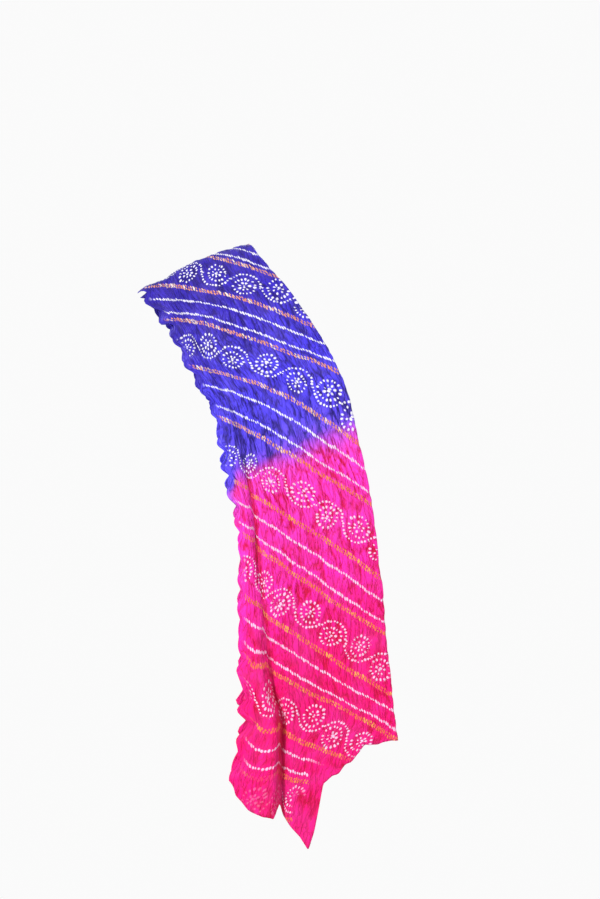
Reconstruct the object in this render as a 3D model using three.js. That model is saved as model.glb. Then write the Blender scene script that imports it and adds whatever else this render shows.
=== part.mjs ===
// A crinkled tie-dyed dupatta stole. One long cloth is folded double along its length, so that it has
// a fold down one side and its two selvedges down the other, and hangs over one shoulder: down the
// chest in front and down the shoulder blade behind. +Z is up, the wearer faces -Y, and the origin is
// on the underside of the cloth where the shoulder carries it. Millimetres.

import * as THREE from 'three';

const wall = 2.0; // crinkled cloth, from the tops of its puffs to the floors of its creases
const layerPitch = 3.6; // middle of the outer layer to the middle of the layer folded under it
const seamGap = 0.3; // left between two stretches of the same cloth
const foldReturn = -80; // degrees that the outer layer is carried to, round its fold from +90
const furrowPlace = 0.27; // column on which the furrow between the selvedge strip and the panel runs
const hemShare = 0.24; // last share of each fall over which its hem line takes shape
const scallopLength = 37; // from one ruffle of a selvedge to the next
const scallopColumn = 0.13; // the ruffles die out this far in from the selvedge
const scallopLift = 0.5; // how far a ruffle stands up, as a share of how far it reaches out
const scallopDrift = { turn: 0.9, length: 61 }; // makes the ruffles uneven: radians, over this length
const measureSteps = 600; // samples used to measure the length of the fall
const crestTurn = 90; // length of each fall that rounds the shoulder
const crestPitch = 9; // spacing of the rows round the shoulder, where the cloth bends most

// The fall from the back hem over the crest of the shoulder to the front hem, one row for each
// section: where the selvedge and the fold run, how far the middle stands proud of the straight line
// between them, the width of the selvedge strip as a share of the section, how deep the furrow beside
// it is, and how far the selvedge ruffles reach.
const sections = [
  { selvedge: [66, 91, -570], fold: [217, 92, -558], proud: 3, strip: 0.26, furrow: 0.8, ruffle: 5 },
  { selvedge: [66, 92, -510], fold: [213, 94, -500], proud: 4, strip: 0.23, furrow: 0.9, ruffle: 5 },
  { selvedge: [64, 94, -440], fold: [208, 97, -432], proud: 5, strip: 0.2, furrow: 0.9, ruffle: 5 },
  { selvedge: [60, 96, -360], fold: [202, 101, -350], proud: 6, strip: 0.17, furrow: 0.9, ruffle: 4 },
  { selvedge: [50, 95, -280], fold: [190, 103, -262], proud: 7, strip: 0.15, furrow: 0.8, ruffle: 4 },
  { selvedge: [34, 91, -215], fold: [176, 100, -186], proud: 8, strip: 0.15, furrow: 0.7, ruffle: 4 },
  { selvedge: [16, 85, -170], fold: [158, 94, -128], proud: 8, strip: 0.15, furrow: 0.5, ruffle: 4 },
  { selvedge: [-10, 74, -125], fold: [132, 82, -76], proud: 9, strip: 0.16, furrow: 0.4, ruffle: 4 },
  { selvedge: [-30, 58, -86], fold: [104, 64, -32], proud: 9, strip: 0.16, furrow: 0.3, ruffle: 5 },
  { selvedge: [-43, 42, -63], fold: [84, 46, -4], proud: 9, strip: 0.16, furrow: 0.2, ruffle: 6 },
  { selvedge: [-56, 0, -35], fold: [66, 0, 23], proud: 9, strip: 0.16, furrow: 0.2, ruffle: 9 },
  { selvedge: [-43, -42, -64], fold: [88, -46, -4], proud: 9, strip: 0.16, furrow: 0.2, ruffle: 8 },
  { selvedge: [-30, -58, -82], fold: [107, -62, -26], proud: 9, strip: 0.15, furrow: 0.3, ruffle: 5 },
  { selvedge: [-14, -76, -115], fold: [134, -80, -64], proud: 9, strip: 0.15, furrow: 0.4, ruffle: 4 },
  { selvedge: [1, -87, -143], fold: [155, -92, -97], proud: 8, strip: 0.15, furrow: 0.5, ruffle: 4 },
  { selvedge: [17, -95, -167], fold: [170, -101, -126], proud: 8, strip: 0.14, furrow: 0.6, ruffle: 4 },
  { selvedge: [28, -102, -197], fold: [185, -109, -164], proud: 7, strip: 0.14, furrow: 0.8, ruffle: 4 },
  { selvedge: [34, -107, -229], fold: [194, -114, -206], proud: 7, strip: 0.15, furrow: 1, ruffle: 4 },
  { selvedge: [41, -110, -265], fold: [204, -117, -251], proud: 6, strip: 0.15, furrow: 1, ruffle: 4 },
  { selvedge: [52, -113, -310], fold: [214, -119, -301], proud: 6, strip: 0.13, furrow: 1, ruffle: 4 },
  { selvedge: [56, -113, -356], fold: [220, -119, -349], proud: 5, strip: 0.13, furrow: 1, ruffle: 4 },
  { selvedge: [55, -112, -413], fold: [226, -118, -404], proud: 5, strip: 0.17, furrow: 1, ruffle: 4 },
  { selvedge: [56, -110, -469], fold: [230, -117, -457], proud: 4, strip: 0.19, furrow: 1, ruffle: 5 },
  { selvedge: [56, -109, -520], fold: [236, -116, -510], proud: 4, strip: 0.22, furrow: 1, ruffle: 6 },
  { selvedge: [60, -108, -558], fold: [240, -115, -547], proud: 3, strip: 0.25, furrow: 0.9, ruffle: 6 },
  { selvedge: [52, -107, -592], fold: [245, -114, -577], proud: 3, strip: 0.27, furrow: 0.7, ruffle: 4 },
];
const crestRow = 10;

// The columns across the outer layer, from the selvedge to the fold: how far the hem hangs below the
// last section, in front in a lobe, a notch, a tail and a slant, and how far the cloth beside the
// furrow stands up.
const columns = [
  { place: 0, frontDrop: 34, backDrop: 26, raise: 0 },
  { place: 0.05, frontDrop: 52, backDrop: 34, raise: 1 },
  { place: 0.1, frontDrop: 64, backDrop: 38, raise: 2.6 },
  { place: 0.17, frontDrop: 79, backDrop: 36, raise: 3.6 },
  { place: 0.22, frontDrop: 82, backDrop: 28, raise: 2.8 },
  { place: furrowPlace, frontDrop: 66, backDrop: 20, raise: 0 },
  { place: 0.33, frontDrop: 90, backDrop: 24, raise: 3.6 },
  { place: 0.42, frontDrop: 112, backDrop: 22, raise: 3 },
  { place: 0.49, frontDrop: 80, backDrop: 17, raise: 1.6 },
  { place: 0.53, frontDrop: 42, backDrop: 14, raise: 0.8 },
  { place: 0.61, frontDrop: 32, backDrop: 10, raise: 0 },
  { place: 0.71, frontDrop: 16, backDrop: 6, raise: 0 },
  { place: 0.8, frontDrop: 4, backDrop: 3, raise: 0 },
  { place: 0.9, frontDrop: 2, backDrop: 1, raise: 0 },
  { place: 1, frontDrop: 0, backDrop: 0, raise: 0 },
];
const underPlaces = [0, 0.06, 0.13, 0.27, 0.42, 0.55, 0.7, 0.85, 0.996]; // the last is short of the fold
const foldAngles = [45, 0, -45, foldReturn];
const underDrop = 0.8; // the hem of the layer folded under hangs this share as far
const underTurn = 1.9; // its ruffles run this much of a wave ahead, in radians

// The four stretches of cloth, one for each layer of each fall.
const stretches = [
  { name: 'front_fall', side: 1, layer: 'outer', pitch: 13, color: 0xf0289a, roughness: 0.62 },
  { name: 'front_underlay', side: 1, layer: 'under', pitch: 26, color: 0xd81f86, roughness: 0.7 },
  { name: 'back_fall', side: -1, layer: 'outer', pitch: 21, color: 0x4a35d8, roughness: 0.62 },
  { name: 'back_underlay', side: -1, layer: 'under', pitch: 28, color: 0x3c2bb4, roughness: 0.7 },
];

const selvedgeLine = new THREE.CatmullRomCurve3(sections.map((row) => new THREE.Vector3(...row.selvedge)));
const foldLine = new THREE.CatmullRomCurve3(sections.map((row) => new THREE.Vector3(...row.fold)));
const lastRow = sections.length - 1;

function clamp(value, low, high) {
  return Math.min(Math.max(value, low), high);
}

function smoothStep(value) {
  const share = clamp(value, 0, 1);
  return share * share * (3 - 2 * share);
}

// A named column of the sections' table at a share 0 to 1 of the way through its rows.
function sectionValue(name, share) {
  const row = clamp(share, 0, 1) * lastRow;
  const before = Math.min(Math.floor(row), lastRow - 1);
  return THREE.MathUtils.lerp(sections[before][name], sections[before + 1][name], row - before);
}

// A named column of the columns' table at a place across the layer.
function columnValue(name, place) {
  const after = Math.max(columns.findIndex((column) => column.place >= place - 1e-9), 1);
  const low = columns[after - 1];
  const high = columns[after];
  return THREE.MathUtils.lerp(low[name], high[name], (place - low.place) / (high.place - low.place));
}

// Lengths along the middle of the cloth from the back hem, by which a distance becomes a share.
function measureMiddle() {
  const lengths = [0];
  let before = null;
  for (let step = 0; step <= measureSteps; step += 1) {
    const share = step / measureSteps;
    const middle = selvedgeLine.getPoint(share).lerp(foldLine.getPoint(share), 0.5);
    if (before) lengths.push(lengths[step - 1] + middle.distanceTo(before));
    before = middle;
  }
  return lengths;
}

const middleLengths = measureMiddle();
const crestLength = middleLengths[Math.round((crestRow / lastRow) * measureSteps)];
const frontLength = middleLengths[measureSteps] - crestLength;
const backLength = crestLength;

// The share of the rows at a distance from the crest, positive down the front.
function shareAt(along) {
  const wanted = clamp(along + crestLength, 0, middleLengths[measureSteps]);
  let low = 0;
  let high = measureSteps;
  while (high - low > 1) {
    const half = Math.floor((low + high) / 2);
    if (middleLengths[half] <= wanted) low = half;
    else high = half;
  }
  const step = middleLengths[high] - middleLengths[low];
  return (low + (wanted - middleLengths[low]) / step) / measureSteps;
}

// Where a column lies across the section: the strip and the panel each keep their own spacing.
function acrossAt(along, place) {
  const strip = sectionValue('strip', shareAt(along));
  if (place < furrowPlace) return (place / furrowPlace) * strip;
  return strip + ((place - furrowPlace) / (1 - furrowPlace)) * (1 - strip);
}

// The straight line from selvedge to fold at a distance from the crest, carried on past the ends.
function straightPoint(along, across) {
  const share = shareAt(along);
  const point = selvedgeLine.getPoint(share).lerp(foldLine.getPoint(share), across);
  const past = along - clamp(along, -backLength, frontLength);
  if (past === 0) return point;
  const tangent = selvedgeLine.getTangent(share).lerp(foldLine.getTangent(share), across).normalize();
  return point.addScaledVector(tangent, past);
}

// The direction out of a surface, from its steps along and across the cloth.
function outward(pointAt, along, across) {
  const step = 0.5;
  const share = 0.004;
  const down = pointAt(along + step, across).sub(pointAt(along - step, across));
  const over = pointAt(along, across + share).sub(pointAt(along, across - share));
  return down.cross(over).normalize();
}

// The middle of the doubled cloth: the straight line, bowed out over the shoulder and the chest.
function bodyPoint(along, across) {
  const bow = sectionValue('proud', shareAt(along)) * 4 * across * (1 - across);
  return straightPoint(along, across).addScaledVector(outward(straightPoint, along, across), bow);
}

// Scallops of a selvedge: a wave along it that reaches out and lifts, and dies out inwards.
function scallop(along, place, turn) {
  const fade = 1 - smoothStep(place / scallopColumn);
  const reach = sectionValue('ruffle', shareAt(along)) * fade;
  const drift = scallopDrift.turn * Math.sin(along / scallopDrift.length);
  const phase = (along / scallopLength) * 2 * Math.PI + drift + turn;
  return { out: reach * Math.cos(phase), lift: scallopLift * reach * Math.max(Math.sin(phase), 0) };
}

// A point of a layer, offset from the layer's own middle. Above a quarter turn it lies on the outer
// layer, and as the angle falls it goes round the fold to the side that faces the wearer.
function layerPoint(along, place, angle, offset, turn) {
  const wave = scallop(along, place, turn);
  const over = foldLine.getPoint(shareAt(along)).sub(selvedgeLine.getPoint(shareAt(along)));
  const across = acrossAt(along, place) - wave.out / over.length();
  const normal = outward(bodyPoint, along, across);
  const turned = THREE.MathUtils.degToRad(angle);
  const radius = layerPitch / 2 + offset;
  const raised = angle > 0 ? columnValue('raise', place) * sectionValue('furrow', shareAt(along)) : 0;
  return bodyPoint(along, across)
    .addScaledVector(over.normalize(), radius * Math.cos(turned))
    .addScaledVector(normal, radius * Math.sin(turned) + raised + wave.lift * Math.sin(turned));
}

// How far down a fall a row of the mesh reaches in one column, from the crest at 0 to the hem at 1.
function alongAt(side, row, place, shorter) {
  const length = side > 0 ? frontLength : backLength;
  const drop = columnValue(side > 0 ? 'frontDrop' : 'backDrop', place) * shorter;
  const shaped = smoothStep((row - (1 - hemShare)) / hemShare);
  return side * (seamGap / 2 + row * (length - seamGap / 2) + drop * shaped);
}

// Shares of a fall's length at which its rows lie: close together round the shoulder, then even.
function rowShares(length, pitch) {
  const turnSteps = Math.round(crestTurn / crestPitch);
  const fallSteps = Math.round((length - crestTurn) / pitch);
  const shares = [];
  for (let step = 0; step < turnSteps; step += 1) {
    shares.push((step * crestPitch) / length);
  }
  for (let step = 0; step <= fallSteps; step += 1) {
    shares.push((crestTurn + ((length - crestTurn) * step) / fallSteps) / length);
  }
  return shares;
}

// A closed wall from two grids of points, its outer face first. Each face is rows of points; the
// four edges are closed by strips between the two faces.
function closedWall(outer, inner, flipped) {
  const rows = outer.length;
  const across = outer[0].length;
  const points = [...outer.flat(), ...inner.flat()];
  const triangles = [];
  const addQuad = (a, b, c, d) => {
    if (flipped) triangles.push(a, c, b, a, d, c);
    else triangles.push(a, b, c, a, c, d);
  };
  const at = (row, column, face) => face * rows * across + row * across + column;
  for (let row = 0; row < rows - 1; row += 1) {
    for (let column = 0; column < across - 1; column += 1) {
      addQuad(at(row, column, 0), at(row + 1, column, 0), at(row + 1, column + 1, 0), at(row, column + 1, 0));
      addQuad(at(row, column, 1), at(row, column + 1, 1), at(row + 1, column + 1, 1), at(row + 1, column, 1));
    }
    addQuad(at(row, 0, 0), at(row, 0, 1), at(row + 1, 0, 1), at(row + 1, 0, 0));
    const end = across - 1;
    addQuad(at(row, end, 1), at(row, end, 0), at(row + 1, end, 0), at(row + 1, end, 1));
  }
  for (let column = 0; column < across - 1; column += 1) {
    const end = rows - 1;
    addQuad(at(0, column, 1), at(0, column, 0), at(0, column + 1, 0), at(0, column + 1, 1));
    addQuad(at(end, column, 0), at(end, column, 1), at(end, column + 1, 1), at(end, column + 1, 0));
  }
  const geometry = new THREE.BufferGeometry();
  const places = new Float32Array(points.flatMap((point) => point.toArray()));
  geometry.setAttribute('position', new THREE.BufferAttribute(places, 3));
  geometry.setIndex(triangles);
  geometry.computeVertexNormals();
  return geometry;
}

// The columns of a layer as places and angles: the outer layer carries on round the fold.
function layerColumns(layer) {
  if (layer === 'outer') {
    const flat = columns.map((column) => ({ place: column.place, angle: 90 }));
    return [...flat, ...foldAngles.map((angle) => ({ place: 1, angle }))];
  }
  return underPlaces.map((place) => ({ place, angle: -90 }));
}

function stretchMesh({ name, side, layer, pitch, color, roughness }) {
  const shares = rowShares(side > 0 ? frontLength : backLength, pitch);
  const under = layer === 'under';
  const pointAt = (share, { place, angle }, offset) => {
    const along = alongAt(side, share, place, under ? underDrop : 1);
    return layerPoint(along, place, angle, offset, under ? underTurn : 0);
  };
  const faceAt = (offset) => shares.map((share) => (
    layerColumns(layer).map((column) => pointAt(share, column, offset))
  ));
  const geometry = closedWall(faceAt(wall / 2), faceAt(-wall / 2), (side < 0) !== under);
  const material = new THREE.MeshStandardMaterial({ color, roughness, metalness: 0, side: THREE.DoubleSide });
  const mesh = new THREE.Mesh(geometry, material);
  mesh.name = name;
  return mesh;
}

const stole = new THREE.Group();
for (const stretch of stretches) {
  stole.add(stretchMesh(stretch));
}

// The origin is on the underside of the cloth, in the middle of the crest.
const carriedPoint = layerPoint(0, 0.5, -90, wall / 2, 0);
stole.position.copy(carriedPoint).negate();

export default stole;
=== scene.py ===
import math
import bpy
import numpy as np
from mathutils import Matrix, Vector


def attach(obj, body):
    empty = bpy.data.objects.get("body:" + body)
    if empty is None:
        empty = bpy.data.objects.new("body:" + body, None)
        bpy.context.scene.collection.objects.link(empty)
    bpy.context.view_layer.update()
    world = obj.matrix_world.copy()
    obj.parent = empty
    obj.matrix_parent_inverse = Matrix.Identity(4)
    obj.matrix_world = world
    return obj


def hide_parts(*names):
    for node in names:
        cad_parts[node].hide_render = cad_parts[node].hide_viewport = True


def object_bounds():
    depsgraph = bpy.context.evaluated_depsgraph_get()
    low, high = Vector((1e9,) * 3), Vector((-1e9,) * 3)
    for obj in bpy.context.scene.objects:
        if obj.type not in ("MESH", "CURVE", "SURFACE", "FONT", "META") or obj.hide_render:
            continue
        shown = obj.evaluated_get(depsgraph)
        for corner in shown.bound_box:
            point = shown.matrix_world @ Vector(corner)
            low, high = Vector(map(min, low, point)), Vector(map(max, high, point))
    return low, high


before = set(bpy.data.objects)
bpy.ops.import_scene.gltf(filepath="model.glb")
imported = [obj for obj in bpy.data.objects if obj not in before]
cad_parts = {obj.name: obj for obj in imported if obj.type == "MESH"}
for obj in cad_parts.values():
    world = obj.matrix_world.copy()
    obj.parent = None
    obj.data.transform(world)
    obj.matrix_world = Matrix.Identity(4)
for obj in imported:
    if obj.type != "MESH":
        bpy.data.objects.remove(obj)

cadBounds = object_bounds()
millimetre = 0.001

# How the doubled cloth hangs, a row for each section from the back hem to the front hem:
# selvedge x y z, fold x y z, how proud the middle stands, strip share, furrow depth, ruffle reach.
sections = np.array([
    (66, 91, -570, 217, 92, -558, 3, 0.26, 0.8, 5),
    (66, 92, -510, 213, 94, -500, 4, 0.23, 0.9, 5),
    (64, 94, -440, 208, 97, -432, 5, 0.20, 0.9, 5),
    (60, 96, -360, 202, 101, -350, 6, 0.17, 0.9, 4),
    (50, 95, -280, 190, 103, -262, 7, 0.15, 0.8, 4),
    (34, 91, -215, 176, 100, -186, 8, 0.15, 0.7, 4),
    (16, 85, -170, 158, 94, -128, 8, 0.15, 0.5, 4),
    (-10, 74, -125, 132, 82, -76, 9, 0.16, 0.4, 4),
    (-30, 58, -86, 104, 64, -32, 9, 0.16, 0.3, 5),
    (-43, 42, -63, 84, 46, -4, 9, 0.16, 0.2, 6),
    (-56, 0, -35, 66, 0, 23, 9, 0.16, 0.2, 9),
    (-43, -42, -64, 88, -46, -4, 9, 0.16, 0.2, 8),
    (-30, -58, -82, 107, -62, -26, 9, 0.15, 0.3, 5),
    (-14, -76, -115, 134, -80, -64, 9, 0.15, 0.4, 4),
    (1, -87, -143, 155, -92, -97, 8, 0.15, 0.5, 4),
    (17, -95, -167, 170, -101, -126, 8, 0.14, 0.6, 4),
    (28, -102, -197, 185, -109, -164, 7, 0.14, 0.8, 4),
    (34, -107, -229, 194, -114, -206, 7, 0.15, 1.0, 4),
    (41, -110, -265, 204, -117, -251, 6, 0.15, 1.0, 4),
    (52, -113, -310, 214, -119, -301, 6, 0.13, 1.0, 4),
    (56, -113, -356, 220, -119, -349, 5, 0.13, 1.0, 4),
    (55, -112, -413, 226, -118, -404, 5, 0.17, 1.0, 4),
    (56, -110, -469, 230, -117, -457, 4, 0.19, 1.0, 5),
    (56, -109, -520, 236, -116, -510, 4, 0.22, 1.0, 6),
    (60, -108, -558, 240, -115, -547, 3, 0.25, 0.9, 6),
    (52, -107, -592, 245, -114, -577, 3, 0.27, 0.7, 4),
], float)
crestRow = 10

# Across a layer: place from selvedge to fold, front hem drop, back hem drop, how far it stands up.
columns = np.array([
    (0.00, 34, 26, 0.0), (0.05, 52, 34, 1.0), (0.10, 64, 38, 2.6), (0.17, 79, 36, 3.6),
    (0.22, 84, 28, 2.8), (0.265, 66, 20, 0.0), (0.285, 82, 20, 0.4), (0.33, 95, 24, 3.6),
    (0.38, 108, 23, 3.4), (0.42, 126, 22, 3.0), (0.46, 104, 18, 2.2), (0.485, 84, 17, 1.6),
    (0.53, 46, 14, 0.8), (0.61, 36, 10, 0.0), (0.71, 20, 6, 0.0),
    (0.80, 4, 3, 0.0), (0.90, 2, 1, 0.0), (1.00, 0, 0, 0.0),
])

cloth = {
    "layerRadius": 1.8,      # middle of each layer from the middle of the doubled cloth
    "halfThickness": 0.28,
    "foldReturn": -80,       # degrees that the outer layer goes round its fold, from 90
    "furrowPlace": 0.27,
    "hemShare": 0.24,
    "ruffleLength": 37,
    "ruffleColumn": 0.13,
    "puff": 0.9,             # how far the cloth puffs up between tied rows
    "crease": 1.15,          # depth of the short creases
    "bigCrease": 0.8,
    "creaseSpacing": 4.6,
    "creaseLength": 24,
    "hemBump": 1.8,
    "marginFlute": 2.4,
    "ridgeGain": 1.5,        # how much higher the cloth beside the furrow stands than the table says
    "hemGroove": 6.5,        # how deep both layers are pushed in along the furrow at the front hem
    "extraInFurrow": 11.5,   # half of the cloth that is rolled into the furrow
    "stripSag": 15,          # how far the strip's rows sag near the front hem
    "stripJog": 7,           # how far the strip's rows step down from the panel's
    "crestLift": 3.6,        # how far the cloth stands off the shoulder at the crest
    "crestFlare": 11,        # how far the selvedge flares out there, and how far up
    "crestFlareLift": 6,
    "lobeStand": 5,          # how far the strip's end stands off the panel, and leans over it
    "lobeLean": 7,
    "rowWave": 1.3,          # how far the tied rows wander
    "laterPink": 30,         # how much later the dye changes at the selvedge
}

# The tied pattern repeats down the cloth: repeat number, distance of its first row from the crest
# at the middle of the cloth, and the slope of its rows.
repeats = np.array([
    (-6, -940, 0.55), (-5, -780, 0.60), (-4, -640, 0.66), (-3, -495, 0.72), (-2, -345, 0.86),
    (-1, -200, 1.00), (0, -62, 1.12), (1, 70, 0.92), (2, 212, 0.88), (3, 376, 0.74),
    (4, 514, 0.70), (5, 636, 0.45), (6, 730, 0.10), (7, 830, 0.10),
])
tied = {
    "middle": 75,            # the repeats are measured this far in from the selvedge
    "firstWhite": 0.18,
    "secondWhite": 0.365,
    "secondOrange": 0.465,
    "rosettes": 0.76,
    "wrap": 0.26,            # where one repeat is told from the next
    "pitch": 37,
}

stretches = [
    {"node": "front_fall", "side": 1, "under": False, "rows": 218, "across": 190, "flat": (0.20, 0.84)},
    {"node": "front_underlay", "side": 1, "under": True, "rows": 150, "across": 120, "flat": (0.20, 0.78)},
    {"node": "back_fall", "side": -1, "under": False, "rows": 190, "across": 170, "flat": (0.20, 0.69)},
    {"node": "back_underlay", "side": -1, "under": True, "rows": 130, "across": 110, "flat": (0.20, 0.64)},
]


# A smooth curve through knots: a cubic between each two, with slopes from their neighbours, and
# straight on past both ends.
def smoothThrough(knots, values, at):
    slopes = np.gradient(values, knots, axis=0)
    inside = np.clip(at, knots[0], knots[-1])
    before = np.clip(np.searchsorted(knots, inside) - 1, 0, len(knots) - 2)
    step = (knots[before + 1] - knots[before])[..., None]
    share = (inside - knots[before])[..., None] / step
    past = (at - inside)[..., None]
    squared = share ** 2
    cubed = share ** 3
    curve = (2 * cubed - 3 * squared + 1) * values[before]
    curve += (cubed - 2 * squared + share) * step * slopes[before]
    curve += (3 * squared - 2 * cubed) * values[before + 1]
    curve += (cubed - squared) * step * slopes[before + 1]
    return curve + past * np.where(past > 0, slopes[-1], slopes[0])


# Zero below 0, one above 1, and a smooth rise between.
def smoothStep(value):
    share = np.clip(value, 0, 1)
    return share * share * (3 - 2 * share)


# A value from 0 to 1 for each whole-number corner, always the same for the same corner.
def cornerValue(column, row, seed):
    mixed = np.sin(column * 127.1 + row * 311.7 + seed * 74.7) * 43758.5453
    return mixed - np.floor(mixed)


# Soft noise from -1 to 1: the values of the four corners round a point, blended smoothly.
def softNoise(x, y, seed):
    column = np.floor(x)
    row = np.floor(y)
    right = smoothStep(x - column)
    down = smoothStep(y - row)
    top = cornerValue(column, row, seed) * (1 - right) + cornerValue(column + 1, row, seed) * right
    low = cornerValue(column, row + 1, seed) * (1 - right) + cornerValue(column + 1, row + 1, seed) * right
    return 2 * (top * (1 - down) + low * down) - 1


def unit(vectors):
    return vectors / np.maximum(np.linalg.norm(vectors, axis=-1, keepdims=True), 1e-9)


middleLine = (sections[:, 0:3] + sections[:, 3:6]) / 2
knotPlaces = np.r_[0, np.cumsum(np.linalg.norm(np.diff(middleLine, axis=0), axis=1))]
knotPlaces -= knotPlaces[crestRow]
frontLength = knotPlaces[-1]
backLength = -knotPlaces[0]


def sectionAt(along):
    return smoothThrough(knotPlaces, sections, along)


def fromTable(table, column, at):
    fine = np.linspace(table[0, 0], table[-1, 0], 601)
    values = np.interp(fine, table[:, 0], table[:, column])
    window = np.hanning(13)
    padded = np.pad(values, 6, mode="edge")
    return np.interp(at, fine, np.convolve(padded, window / window.sum(), "valid"))


# The middle of the doubled cloth: straight from selvedge to fold, bowed out by a parabola, and
# pushed in along the furrow near the front hem. Gives the point, the way across and the way out.
def bodyAt(along, across):
    here = sectionAt(along)
    step = 0.5
    ahead = sectionAt(along + step)
    behind = sectionAt(along - step)
    share = across[..., None]
    over = here[..., 3:6] - here[..., 0:3]
    down = (ahead[..., 0:3] - behind[..., 0:3]) * (1 - share) + (ahead[..., 3:6] - behind[..., 3:6]) * share
    out = unit(np.cross(down, over))
    bow = here[..., 6] * 4 * across * (1 - across)
    groove = np.exp(-((across - here[..., 7] - 0.012) / 0.03) ** 2) * smoothStep((along - 500) / 90)
    return here[..., 0:3] + over * share + out * (bow - cloth["hemGroove"] * groove)[..., None], unit(over), out


# Places in the tied pattern: the repeat number solves along = middle + slope * distance across, by
# steps that halve the error. Beside it come the length of a repeat, the slope, and the distances
# along the rosette row and beside it.
def patternAt(along, across):
    fine = np.linspace(repeats[0, 0], repeats[-1, 0], 2601)
    table = smoothThrough(repeats[:, 0], repeats[:, 1:3], fine)
    off = across - tied["middle"]
    repeat = np.interp(along, table[:, 0], fine)
    for attempt in range(14):
        slope = np.interp(repeat, fine, table[:, 1])
        repeat = 0.5 * repeat + 0.5 * np.interp(along - slope * off, table[:, 0], fine)
    slope = np.interp(repeat, fine, table[:, 1])
    perRepeat = np.interp(repeat, fine, np.gradient(table[:, 0], fine))
    perRepeat = perRepeat + np.interp(repeat, fine, np.gradient(table[:, 1], fine)) * off
    reach = np.clip(perRepeat, 40, 260) / np.sqrt(1 + slope ** 2)
    number = np.floor(repeat - tied["wrap"])
    rosetteRow = number + tied["rosettes"]
    rowSlope = np.interp(rosetteRow, fine, table[:, 1])
    rowMiddle = np.interp(rosetteRow, fine, table[:, 0])
    turn = np.arctan(rowSlope)
    beside = (along - rowMiddle - rowSlope * off) * np.cos(turn)
    run = off * np.cos(turn) + (along - rowMiddle) * np.sin(turn)
    return repeat, reach, slope, number, run, beside


# Extra cloth is rolled into the furrow, so the cloth's own distance across runs faster there: a
# hyperbolic tangent of the distance from the furrow.
def extraCloth(place, width):
    away = (place - cloth["furrowPlace"]) * width / 13
    return cloth["extraInFurrow"] * np.tanh(away)


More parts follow.
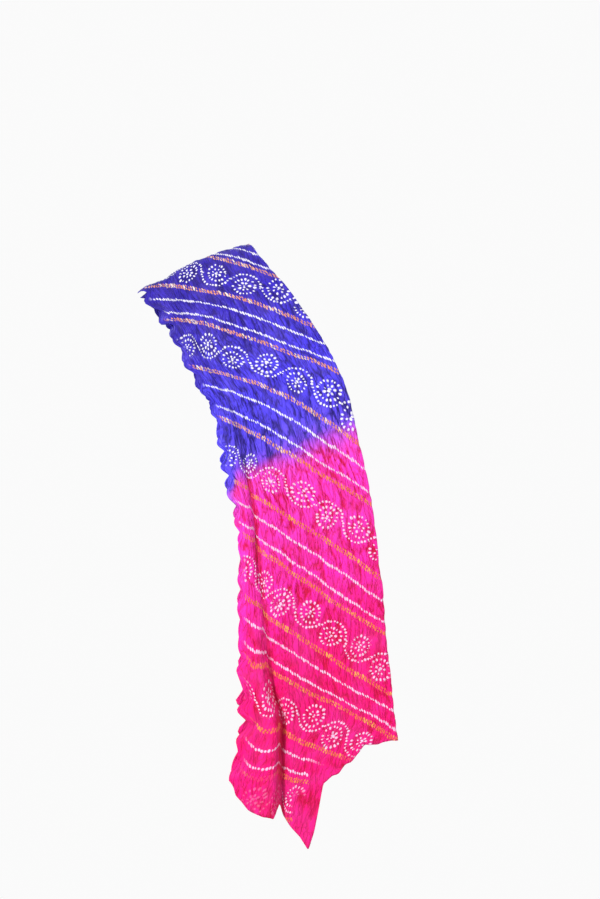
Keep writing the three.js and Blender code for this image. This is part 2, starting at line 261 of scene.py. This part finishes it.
# One stretch of the cloth as a grid of points with the values that its finish needs: the body's
# point, plus the layer's radius turned round the fold, plus the relief of puffs, creases, ridges and
# ruffles along the same ray.
def stretchGrid(stretch):
    side = stretch["side"]
    under = stretch["under"]
    rows = stretch["rows"]
    across = stretch["across"]
    foldSteps = 0 if under else 10
    last = 0.996 if under else 1.0
    places = np.r_[np.linspace(0, last, across), np.full(foldSteps, 1.0)]
    angles = np.full(across, -90.0 if under else 90.0)
    if foldSteps:
        angles = np.r_[angles, np.linspace(90, cloth["foldReturn"], foldSteps + 1)[1:]]
    share, place = np.meshgrid(np.linspace(0, 1, rows), places, indexing="ij")
    angle = np.radians(np.broadcast_to(angles, share.shape))
    length = frontLength if side > 0 else backLength
    drop = fromTable(columns, 1 if side > 0 else 2, place) * (0.8 if under else 1)
    drop = drop + cloth["hemBump"] * softNoise(place * 24, place * 0 + 3 * side, 5)
    along = side * (share * length + drop * smoothStep((share - 1 + cloth["hemShare"]) / cloth["hemShare"]))

    values = sectionAt(along)
    strip, furrow, reach = values[..., 7], values[..., 8], values[..., 9]
    width = np.linalg.norm(values[..., 3:6] - values[..., 0:3], axis=-1)
    edge = cloth["furrowPlace"]
    within = np.where(place < edge, place / edge * strip, strip + (place - edge) / (1 - edge) * (1 - strip))
    fade = 1 - smoothStep(place / cloth["ruffleColumn"])
    phase = along / cloth["ruffleLength"] * 2 * math.pi + 0.9 * np.sin(along / 61) + (1.9 if under else 0)
    phase = phase + 1.1 * softNoise(along / 29, 0 * along, 31)
    reach = reach * (0.85 + 0.55 * softNoise(along / 41, 0 * along, 33))
    lift = 0.5 * reach * fade * np.maximum(np.sin(phase), 0)
    flute = cloth["marginFlute"] * (1 - smoothStep(place / 0.2)) * softNoise(along / 13, place * 5, 9)
    body, over, out = bodyAt(along, within - reach * fade * np.cos(phase) / width)

    flatAcross = within * width
    low = smoothStep((along - 470) / 110)
    inStrip = np.clip(place / edge, 0, 1)
    sag = low * np.where(place < edge, cloth["stripSag"] * np.sin(math.pi * inStrip) ** 1.2, 0)
    jog = smoothStep((along - 250) / 60) * (1 - smoothStep((place - edge + 0.02) / 0.03))
    jog = cloth["stripJog"] * jog
    repeat, rowReach, slope, number, run, beside = patternAt(along - sag + jog, flatAcross)
    extra = extraCloth(place, width)
    run = run + extra * np.cos(np.arctan(slope))
    rolled = flatAcross + extra + np.radians(90 - np.degrees(angle)) * (0 if under else cloth["layerRadius"])

    # creases run from one tied row to the next and die out at each
    fraction = repeat - np.floor(repeat)
    edges = np.array([0, tied["firstWhite"], tied["secondWhite"], tied["secondOrange"], 1.0])
    nearest = np.min(np.abs(fraction[..., None] - edges), axis=-1) * rowReach
    band = np.searchsorted(edges, fraction) + 5 * np.floor(repeat)
    inner = smoothStep(nearest / 5.5)
    wander = 1.3 * softNoise(rolled / 31, along / 33, 2) + 0.35 * softNoise(rolled / 9, along / 12, 3)
    lean = 0.35 * (cornerValue(band, band * 0, 8) - 0.5)
    x = rolled / cloth["creaseSpacing"] + wander + lean * along / 9 + band * 0.37
    ridge = np.abs(softNoise(x, along / cloth["creaseLength"] + band * 3.1, 11))
    crease = np.clip(1 - ridge / 0.42, 0, 1) ** 1.3
    ridge = np.abs(softNoise(rolled / 10.5 + 1.4 * wander + 0.12 * lean * along, along / 47, 17))
    bigCrease = np.clip(1 - ridge / 0.3, 0, 1) ** 1.4
    margin = smoothStep((place - 0.03) / 0.09)
    bare = smoothStep((along - 690) / 14) * (place > 0.34)
    bare = bare + smoothStep((along - 655) / 14) * (place > 0.44)
    bare = bare + 0.85 * smoothStep((along - 664) / 12) * (place < edge)
    hidden = 0.9 * np.exp(-((place - edge - 0.008) / 0.014) ** 2) * low
    tiedHere = margin * (1 - np.clip(bare, 0, 1)) * (1 - hidden)
    smooth = 1 - 0.6 * np.exp(-((place - 0.33) / 0.04) ** 2) * smoothStep((along - 300) / 80)
    strength = (0.25 + 0.75 * inner) * (0.35 + 0.65 * margin) * smooth
    puff = cloth["puff"] * (inner - 0.5) * margin
    swell = 0.8 * softNoise(rolled / 38, along / 46, 21)
    relief = puff + swell - cloth["crease"] * crease * strength - cloth["bigCrease"] * bigCrease * strength

    ray = over * np.cos(angle)[..., None] + out * np.sin(angle)[..., None]
    raised = 0 if under else cloth["ridgeGain"] * fromTable(columns, 3, place) * furrow
    layerRelief = np.clip(relief, -1.35, 3) if not under else np.clip(-relief, -1.2, 1.2)
    reachOut = cloth["layerRadius"] + layerRelief + raised + lift + np.abs(flute)
    # at the crest the cloth stands a little off the shoulder and its selvedge flares out; at the front
    # hem the end of the strip stands off the panel and leans over the furrow
    lobe = low * np.exp(-((place - 0.2) / 0.05) ** 2) if not under else 0 * low
    flare = np.exp(-(along / 42) ** 2) * (1 - smoothStep(place / 0.36))
    raisedCrest = cloth["crestLift"] * np.exp(-(along / 55) ** 2) + cloth["crestFlareLift"] * flare
    points = body + ray * reachOut[..., None] + out * raisedCrest[..., None]
    points = points - over * (cloth["crestFlare"] * flare)[..., None]
    if side > 0:
        lean = cloth["lobeLean"] * lobe * smoothStep((along - 560) / 80)
        points = points + out * (cloth["lobeStand"] * lobe)[..., None] + over * lean[..., None]

    down = np.gradient(points, axis=0)
    aside = np.gradient(points, axis=1)
    normal = unit(np.cross(down, aside)) * side
    # painted shade: the colour is darkened where the creases fold in, by the crease depths
    paintedShade = np.clip(0.85 * crease * strength + 0.3 * bigCrease * strength, 0, 1)
    if not under:
        # painted shade along the furrow between strip and panel, where the recess lies in shadow
        furrowWidth = 0.013 + 0.022 * smoothStep((along - 560) / 90)
        furrowPaintedShade = np.exp(-((place - edge - 0.006) / furrowWidth) ** 2) * smoothStep((along - 170) / 120)
        paintedShade = np.clip(paintedShade + 0.85 * furrowPaintedShade, 0, 1)
    dye = np.abs(along) + 0.26 * (flatAcross - tied["middle"])
    dye = dye - cloth["laterPink"] * (1 - smoothStep(place / 0.16))
    repeat = repeat + cloth["rowWave"] * softNoise(rolled / 15, along / 60, 41) / rowReach
    # dyePlace holds the place in the dye, the painted shade of creases and furrow, and the distance along the
    # rows
    fields = {
        "rowPlace": np.stack([repeat, rowReach, tiedHere], axis=-1),
        "rosettePlace": np.stack([run, beside, number], axis=-1),
        "dyePlace": np.stack([dye, paintedShade, rolled * np.sqrt(1 + slope ** 2)], axis=-1),
    }
    return points, normal, fields, np.stack([rolled, along], axis=-1)


# A closed thin shell: the grid moved out and in by half the thickness, joined round its four edges.
def shellMesh(name, points, normal, fields, clothPlace, flipped, shift):
    half = cloth["halfThickness"]
    rows, across = points.shape[:2]
    count = rows * across
    both = np.concatenate([(points + half * normal).reshape(-1, 3), (points - half * normal).reshape(-1, 3)])
    number = np.arange(count).reshape(rows, across)
    a, b = number[:-1, :-1], number[1:, :-1]
    c, d = number[1:, 1:], number[:-1, 1:]
    top = np.stack([a, b, c, d], axis=-1).reshape(-1, 4)
    low = top[:, ::-1] + count
    left = number[:, 0]
    right = number[:, -1]
    first = number[0]
    last = number[-1]
    rims = [
        np.stack([left[:-1], left[:-1] + count, left[1:] + count, left[1:]], axis=-1),
        np.stack([right[:-1] + count, right[:-1], right[1:], right[1:] + count], axis=-1),
        np.stack([first[:-1] + count, first[:-1], first[1:], first[1:] + count], axis=-1),
        np.stack([last[:-1], last[:-1] + count, last[1:] + count, last[1:]], axis=-1),
    ]
    quads = np.concatenate([top, low] + rims)
    if flipped:
        quads = quads[:, ::-1]
    mesh = bpy.data.meshes.new(name)
    mesh.from_pydata((both + shift) * millimetre, [], quads)
    softFaces = np.zeros(len(quads), bool)
    softFaces[:2 * len(top)] = True
    mesh.polygons.foreach_set("use_smooth", softFaces)
    for field, values in fields.items():
        attribute = mesh.attributes.new(field, "FLOAT_VECTOR", "POINT")
        doubled = np.concatenate([values.reshape(-1, 3)] * 2).astype(np.float32)
        attribute.data.foreach_set("vector", doubled.ravel())
    corners = np.empty(len(mesh.loops), np.int32)
    mesh.loops.foreach_get("vertex_index", corners)
    flat = np.concatenate([clothPlace.reshape(-1, 2)] * 2) * millimetre
    layer = mesh.uv_layers.new(name="clothPlace")
    layer.data.foreach_set("uv", flat[corners].astype(np.float32).ravel())
    mesh.update()
    return mesh


def linearColor(red, green, blue):
    parts = []
    for value in (red, green, blue):
        share = value / 255
        parts.append(share / 12.92 if share <= 0.04045 else ((share + 0.055) / 1.055) ** 2.4)
    return (*parts, 1)


def addNode(tree, kind, **inputs):
    node = tree.nodes.new(kind)
    for name, value in inputs.items():
        if isinstance(value, bpy.types.NodeSocket):
            tree.links.new(value, node.inputs[name])
        else:
            node.inputs[name].default_value = value
    return node


# One sum of the node tree; each part is a number or a socket.
def calc(tree, operation, *parts):
    node = tree.nodes.new("ShaderNodeMath")
    node.operation = operation
    for place, part in enumerate(parts):
        if isinstance(part, bpy.types.NodeSocket):
            tree.links.new(part, node.inputs[place])
        else:
            node.inputs[place].default_value = part
    return node.outputs[0]


def mixColor(tree, share, first, second, blend="MIX"):
    node = tree.nodes.new("ShaderNodeMix")
    node.data_type = "RGBA"
    node.blend_type = blend
    for place, part in ((0, share), (6, first), (7, second)):
        if isinstance(part, bpy.types.NodeSocket):
            tree.links.new(part, node.inputs[place])
        else:
            node.inputs[place].default_value = part
    return node.outputs[2]


def colorRamp(tree, position, stops):
    node = tree.nodes.new("ShaderNodeValToRGB")
    tree.links.new(position, node.inputs[0])
    elements = node.color_ramp.elements
    while len(elements) < len(stops):
        elements.new(0.5)
    for element, (place, color) in zip(elements, stops):
        element.position = place
        element.color = color
    return node.outputs[0]


def newGroup(name, inputs, outputs):
    group = bpy.data.node_groups.new(name, "ShaderNodeTree")
    for label in inputs:
        group.interface.new_socket(label, in_out="INPUT", socket_type="NodeSocketFloat")
    for label, kind in outputs.items():
        group.interface.new_socket(label, in_out="OUTPUT", socket_type=kind)
    return group, group.nodes.new("NodeGroupInput").outputs, group.nodes.new("NodeGroupOutput").inputs


def useGroup(tree, group, **inputs):
    node = tree.nodes.new("ShaderNodeGroup")
    node.node_tree = group
    for name, value in inputs.items():
        if isinstance(value, bpy.types.NodeSocket):
            tree.links.new(value, node.inputs[name])
        else:
            node.inputs[name].default_value = value
    return node.outputs


# A line of tied knots: along is cut into equal steps, and each step holds one oval, moved and
# sized by a value of its own.
def knotLineGroup():
    group, given, made = newGroup(
        "knotLine", ["Along", "Aside", "Spacing", "HalfLong", "HalfWide", "Seed"],
        {"Knot": "NodeSocketFloat", "Step": "NodeSocketFloat"})
    steps = calc(group, "DIVIDE", given["Along"], given["Spacing"])
    step = calc(group, "FLOOR", steps)
    own = addNode(group, "ShaderNodeCombineXYZ", X=step, Y=given["Seed"])
    chance = group.nodes.new("ShaderNodeTexWhiteNoise")
    chance.noise_dimensions = "2D"
    group.links.new(own.outputs[0], chance.inputs["Vector"])
    split = addNode(group, "ShaderNodeSeparateColor", Color=chance.outputs["Color"])
    moved = calc(group, "MULTIPLY_ADD", split.outputs[0], 0.3, -0.65)
    local = calc(group, "ADD", calc(group, "SUBTRACT", steps, step), moved)
    x = calc(group, "DIVIDE", calc(group, "MULTIPLY", local, given["Spacing"]), given["HalfLong"])
    aside = calc(group, "ADD", given["Aside"], calc(group, "MULTIPLY_ADD", split.outputs[1], 1.4, -0.7))
    y = calc(group, "DIVIDE", aside, given["HalfWide"])
    far = calc(group, "SQRT", calc(group, "ADD", calc(group, "POWER", x, 2), calc(group, "POWER", y, 2)))
    size = calc(group, "MULTIPLY_ADD", split.outputs[2], 0.5, 0.72)
    knot = calc(group, "MULTIPLY_ADD", calc(group, "DIVIDE", far, size), -2.6, 3.2)
    node = addNode(group, "ShaderNodeClamp", Value=knot)
    group.links.new(node.outputs[0], made["Knot"])
    group.links.new(split.outputs[2], made["Step"])
    return group


# The rosette row: rings of knots in equal cells with a vine of half circles that passes below one
# ring and above the next.
def rosetteGroup(knotLine):
    group, given, made = newGroup("rosetteRow", ["Run", "Beside", "Number"], {"Knot": "NodeSocketFloat"})
    cells = calc(group, "DIVIDE", given["Run"], tied["pitch"])
    cell = calc(group, "FLOOR", cells)
    x = calc(group, "SUBTRACT", calc(group, "SUBTRACT", cells, cell), 0.5)
    x = calc(group, "MULTIPLY", x, tied["pitch"])
    half = calc(group, "MULTIPLY", cell, 0.5)
    odd = calc(group, "SUBTRACT", half, calc(group, "FLOOR", half))
    sign = calc(group, "MULTIPLY_ADD", odd, 4, -1)
    seed = calc(group, "MULTIPLY_ADD", given["Number"], 7.3, cell)
    own = addNode(group, "ShaderNodeCombineXYZ", X=seed, Y=3.7)
    chance = group.nodes.new("ShaderNodeTexWhiteNoise")
    chance.noise_dimensions = "2D"
    group.links.new(own.outputs[0], chance.inputs["Vector"])
    centre = calc(group, "MULTIPLY", sign, calc(group, "MULTIPLY_ADD", chance.outputs["Value"], 3, 4))
    y = calc(group, "SUBTRACT", given["Beside"], centre)
    radius = calc(group, "SQRT", calc(group, "ADD", calc(group, "POWER", x, 2), calc(group, "POWER", y, 2)))
    turn = calc(group, "ARCTAN2", y, x)
    uneven = calc(group, "SINE", calc(group, "MULTIPLY_ADD", turn, 2, calc(group, "MULTIPLY", seed, 2.3)))
    size = calc(group, "MULTIPLY_ADD", chance.outputs["Value"], 0.16, 0.9)
    uneven = calc(group, "MULTIPLY_ADD", uneven, 0.08, size)
    ringPlace = calc(group, "DIVIDE", radius, uneven)
    knots = []
    for ring, spacing, seedShift in ((12.0, 4.6, 0.3), (5.4, 4.9, 5.1), (0.9, 3.0, 9.2)):
        place = calc(group, "MULTIPLY", turn, ring)
        aside = calc(group, "SUBTRACT", ringPlace, ring)
        knots.append(useGroup(
            group, knotLine, Along=place, Aside=aside, Spacing=spacing, HalfLong=1.15, HalfWide=1.6,
            Seed=calc(group, "ADD", seed, seedShift))["Knot"])
    away = calc(group, "MULTIPLY", calc(group, "MULTIPLY", y, sign), -1)
    upper = calc(group, "MAXIMUM", away, 0)
    bend = calc(group, "SQRT", calc(group, "ADD", calc(group, "POWER", x, 2), calc(group, "POWER", upper, 2)))
    vine = useGroup(
        group, knotLine, Along=calc(group, "MULTIPLY", calc(group, "ARCTAN2", x, away), 18.3),
        Aside=calc(group, "SUBTRACT", bend, 18.3), Spacing=4.0, HalfLong=1.2, HalfWide=1.3,
        Seed=calc(group, "ADD", seed, 2.2))["Knot"]
    inRow = calc(group, "LESS_THAN", calc(group, "MULTIPLY", given["Beside"], sign), 1.5)
    knots.append(calc(group, "MULTIPLY", vine, inRow))
    total = knots[0]
    for knot in knots[1:]:
        total = calc(group, "MAXIMUM", total, knot)
    group.links.new(total, made["Knot"])
    return group


# The dye: blue over the shoulder, a short purple stretch, then pink, from the place down the cloth.
def dyeGroup():
    group, given, made = newGroup(
        "ombreDye", ["Place"], {"Color": "NodeSocketColor", "Pink": "NodeSocketFloat"})
    reach = 760
    stops = [
        (0, (46, 28, 165)), (55, (52, 36, 178)), (110, (58, 40, 192)), (150, (68, 54, 215)),
        (180, (74, 60, 232)), (240, (84, 68, 250)), (272, (104, 78, 250)), (286, (140, 80, 248)),
        (298, (210, 84, 235)), (310, (250, 72, 215)), (335, (255, 56, 206)), (385, (252, 54, 192)),
        (445, (254, 40, 180)), (515, (250, 24, 142)), (580, (248, 10, 122)), (650, (248, 12, 130)),
        (760, (246, 8, 120)),
    ]
    share = calc(group, "DIVIDE", given["Place"], reach)
    ramp = colorRamp(group, share, [(place / reach, linearColor(*color)) for place, color in stops])
    group.links.new(ramp, made["Color"])
    pink = calc(group, "DIVIDE", calc(group, "SUBTRACT", given["Place"], 285), 25)
    held = addNode(group, "ShaderNodeClamp", Value=pink)
    group.links.new(held.outputs[0], made["Pink"])
    return group


# Fine crepe crinkle: long thin noise folded at its middle, so that it makes narrow grooves.
def crinkleGroup():
    group, given, made = newGroup("crepeCrinkle", ["Across", "Along"], {"Height": "NodeSocketFloat"})
    total = None
    for wide, long, seed, weight in ((0.0046, 0.019, 1.7, 1.0), (0.0021, 0.007, 8.3, 0.4)):
        spot = addNode(
            group, "ShaderNodeCombineXYZ", X=calc(group, "DIVIDE", given["Across"], wide),
            Y=calc(group, "DIVIDE", given["Along"], long), Z=seed)
        noise = addNode(group, "ShaderNodeTexNoise", Scale=1.0, Detail=1.0, Distortion=0.4)
        group.links.new(spot.outputs[0], noise.inputs["Vector"])
        folded = calc(group, "ABSOLUTE", calc(group, "SUBTRACT", noise.outputs["Fac"], 0.5))
        groove = calc(group, "MINIMUM", calc(group, "MULTIPLY", folded, 13), 1)
        part = calc(group, "MULTIPLY", groove, weight)
        total = part if total is None else calc(group, "ADD", total, part)
    group.links.new(calc(group, "DIVIDE", total, 1.4), made["Height"])
    return group


def clothMaterial():
    knotLine = knotLineGroup()
    rosette = rosetteGroup(knotLine)
    dye = dyeGroup()
    crinkle = crinkleGroup()
    material = bpy.data.materials.new("crinkledSilkCrepe")
    material.use_nodes = True
    tree = material.node_tree
    shader = tree.nodes["Principled BSDF"]

    def field(name):
        node = tree.nodes.new("ShaderNodeAttribute")
        node.attribute_name = name
        split = addNode(tree, "ShaderNodeSeparateXYZ", Vector=node.outputs["Vector"])
        return split.outputs

    repeat, reach, tiedMask = field("rowPlace")
    run, beside, number = field("rosettePlace")
    # the second value of dyePlace is the painted shade of creases and furrow
    dyePlace, paintedShade, rowAlong = field("dyePlace")
    uv = tree.nodes.new("ShaderNodeUVMap")
    uv.uv_map = "clothPlace"
    spot = addNode(tree, "ShaderNodeSeparateXYZ", Vector=uv.outputs[0])
    drift = addNode(tree, "ShaderNodeTexNoise", Scale=28.0, Detail=2.0)
    tree.links.new(uv.outputs[0], drift.inputs["Vector"])
    dyeMoved = calc(tree, "ADD", dyePlace, calc(tree, "MULTIPLY_ADD", drift.outputs["Fac"], 26, -13))
    ground = useGroup(tree, dye, Place=dyeMoved)
    pink = ground["Pink"]
    fraction = calc(tree, "FRACT", repeat)

    def rowKnots(place, offset, seed, spacing, longHalf, wideHalf):
        away = calc(tree, "SUBTRACT", fraction, place)
        away = calc(tree, "SUBTRACT", away, calc(tree, "ROUND", away))
        aside = calc(tree, "MULTIPLY_ADD", away, reach, offset)
        own = calc(tree, "ADD", calc(tree, "FLOOR", calc(tree, "SUBTRACT", repeat, place - 0.5)), seed)
        run = calc(tree, "ADD", rowAlong, seed * 3.1)
        return useGroup(
            tree, knotLine, Along=run, Aside=aside, Spacing=spacing, HalfLong=longHalf,
            HalfWide=wideHalf, Seed=own)

    fromRow = calc(tree, "SUBTRACT", fraction, tied["rosettes"])
    fromRow = calc(tree, "SUBTRACT", fromRow, calc(tree, "ROUND", fromRow))
    rowOnly = calc(tree, "LESS_THAN", calc(tree, "MULTIPLY", calc(tree, "ABSOLUTE", fromRow), reach), 34)
    rosettes = useGroup(tree, rosette, Run=run, Beside=beside, Number=number)["Knot"]
    whites = [
        rowKnots(tied["firstWhite"], 0, 1.1, 3.5, 1.35, 1.5)["Knot"],
        rowKnots(tied["secondWhite"], 0, 4.3, 3.6, 1.35, 1.5)["Knot"],
        calc(tree, "MULTIPLY", rosettes, rowOnly),
    ]
    oranges = []
    for place, seed in ((0.0, 12.1), (tied["secondOrange"], 19.7)):
        oranges.append(rowKnots(place, 1.35, seed, 3.8, 1.15, 1.4))
        oranges.append(rowKnots(place, -1.35, seed + 0.6, 3.8, 1.15, 1.4))
    white = whites[0]
    for part in whites[1:]:
        white = calc(tree, "MAXIMUM", white, part)
    orange = oranges[0]["Knot"]
    for part in oranges[1:]:
        orange = calc(tree, "MAXIMUM", orange, part["Knot"])
    white = calc(tree, "MULTIPLY", white, tiedMask)
    orange = calc(tree, "MULTIPLY", orange, tiedMask)

    fine = useGroup(tree, crinkle, Across=spot.outputs[0], Along=spot.outputs[1])["Height"]
    groove = calc(tree, "SUBTRACT", 1, fine)
    # painted shade: the colour is pulled toward dark crease colours by the painted shade field and the fine
    # crinkle grooves
    paintedShadeAmount = calc(tree, "MULTIPLY_ADD", paintedShade, 0.9, calc(tree, "MULTIPLY", groove, 0.75))
    paintedShadeColor = mixColor(tree, pink, linearColor(38, 22, 120), linearColor(204, 0, 66))
    base = mixColor(tree, paintedShadeAmount, ground["Color"], paintedShadeColor)
    # painted highlight: a pale sheen colour mixed in by soft noise, in patches that do not follow the relief
    paintedHighlightTint = mixColor(tree, pink, linearColor(118, 98, 240), linearColor(255, 70, 196))
    light = calc(tree, "MULTIPLY", calc(tree, "SUBTRACT", drift.outputs["Fac"], 0.42), 0.8)
    base = mixColor(tree, addNode(tree, "ShaderNodeClamp", Value=light).outputs[0], base, paintedHighlightTint)
    orangeColor = mixColor(tree, pink, linearColor(232, 150, 112), linearColor(244, 112, 74))
    whiteColor = mixColor(tree, pink, linearColor(240, 236, 255), linearColor(255, 200, 232))
    cream = mixColor(tree, pink, linearColor(246, 226, 214), linearColor(250, 168, 84))
    mottle = addNode(tree, "ShaderNodeClamp", Value=calc(tree, "MULTIPLY_ADD", oranges[0]["Step"], 2.2, -1.1))
    orangeColor = mixColor(tree, mottle.outputs[0], orangeColor, cream)
    base = mixColor(tree, orange, base, orangeColor)
    base = mixColor(tree, white, base, whiteColor)
    tree.links.new(base, shader.inputs["Base Color"])

    knots = calc(tree, "MAXIMUM", white, orange)
    height = calc(tree, "MULTIPLY_ADD", knots, 0.6, fine)
    bump = addNode(tree, "ShaderNodeBump", Height=height, Strength=1.0, Distance=0.0009)
    tree.links.new(bump.outputs[0], shader.inputs["Normal"])
    rough = calc(tree, "MULTIPLY_ADD", groove, 0.2, 0.44)
    tree.links.new(rough, shader.inputs["Roughness"])
    shader.inputs["Specular IOR Level"].default_value = 0.18
    shader.inputs["Sheen Weight"].default_value = 0.05
    shader.inputs["Sheen Roughness"].default_value = 0.4
    return material


def makeCloth():
    material = clothMaterial()
    strip = sectionAt(np.array([0.0]))[..., 7]
    carried = strip + (0.5 - cloth["furrowPlace"]) / (1 - cloth["furrowPlace"]) * (1 - strip)
    whole, over, out = bodyAt(np.array([0.0]), carried)
    shift = -(whole[0] - out[0] * (cloth["layerRadius"] + 1.0))
    for stretch in stretches:
        points, normal, fields, clothPlace = stretchGrid(stretch)
        flipped = (stretch["side"] < 0) != stretch["under"]
        if stretch["under"]:
            normal = -normal
        mesh = shellMesh(
            stretch["node"] + "_cloth", points, normal, fields, clothPlace, flipped, shift)
        mesh.materials.append(material)
        piece = bpy.data.objects.new(stretch["node"] + "_cloth", mesh)
        bpy.context.scene.collection.objects.link(piece)
        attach(piece, "root")
        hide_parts(stretch["node"])
        print("cloth:", stretch["node"], len(mesh.polygons) * 2, "triangles")


studio = {
    "floorDrop": 0.65,
    "floorRadius": 2.2,
    "cameraPlace": (0.1351, -2.715, -0.2237),
    "lens": 86.76,
}


def paleMaterial(name, color):
    material = bpy.data.materials.new(name)
    material.use_nodes = True
    shader = material.node_tree.nodes["Principled BSDF"]
    shader.inputs["Base Color"].default_value = linearColor(*color)
    shader.inputs["Roughness"].default_value = 0.8
    return material


def areaLight(name, place, aim, size, power):
    data = bpy.data.lights.new(name, "AREA")
    data.shape = "DISK"
    data.size = size
    data.energy = power
    light = bpy.data.objects.new(name, data)
    bpy.context.scene.collection.objects.link(light)
    light.location = place
    way = np.array(aim) - np.array(place)
    light.rotation_euler = (
        math.atan2(math.hypot(way[0], way[1]), -way[2]), 0, math.atan2(way[0], -way[1]) + math.pi)


def makeStudio():
    low, high = cadBounds
    turns = np.linspace(0, 2 * math.pi, 97)[:-1]
    radius = studio["floorRadius"]
    centre = [(low[0] + high[0]) / 2, (low[1] + high[1]) / 2]
    height = low[2] - studio["floorDrop"]
    rim = np.stack([centre[0] + radius * np.cos(turns), centre[1] + radius * np.sin(turns),
                    np.full(len(turns), height)], axis=-1)
    mesh = bpy.data.meshes.new("studioFloor")
    mesh.from_pydata(rim, [], [list(range(len(turns)))])
    mesh.materials.append(paleMaterial("paleFloor", (244, 244, 246)))
    floor = bpy.data.objects.new("studioFloor", mesh)
    bpy.context.scene.collection.objects.link(floor)

    world = bpy.data.worlds.new("studioAir")
    bpy.context.scene.world = world
    world.use_nodes = True
    tree = world.node_tree
    background = tree.nodes["Background"]
    path = tree.nodes.new("ShaderNodeLightPath")
    strength = calc(tree, "MULTIPLY_ADD", path.outputs["Is Camera Ray"], 0.42, 0.54)
    tree.links.new(strength, background.inputs["Strength"])
    background.inputs["Color"].default_value = (1, 1, 1, 1)
    middle = (centre[0], centre[1], (low[2] + high[2]) / 2)
    areaLight("keyLight", (-2.1, -1.9, 1.3), middle, 0.7, 92)
    areaLight("fillLight", (1.9, -2.2, 0.4), middle, 1.4, 22)
    areaLight("backLight", (0.8, 2.5, 1.0), middle, 1.4, 42)

    data = bpy.data.cameras.new("camera")
    data.lens = studio["lens"]
    data.sensor_width = 36
    camera = bpy.data.objects.new("camera", data)
    bpy.context.scene.collection.objects.link(camera)
    camera.location = studio["cameraPlace"]
    camera.rotation_euler = (math.pi / 2, 0, 0)
    bpy.context.scene.camera = camera
    bpy.context.scene.view_settings.view_transform = "Standard"
    print("studio: floor, lights and camera")


makeCloth()
makeStudio()
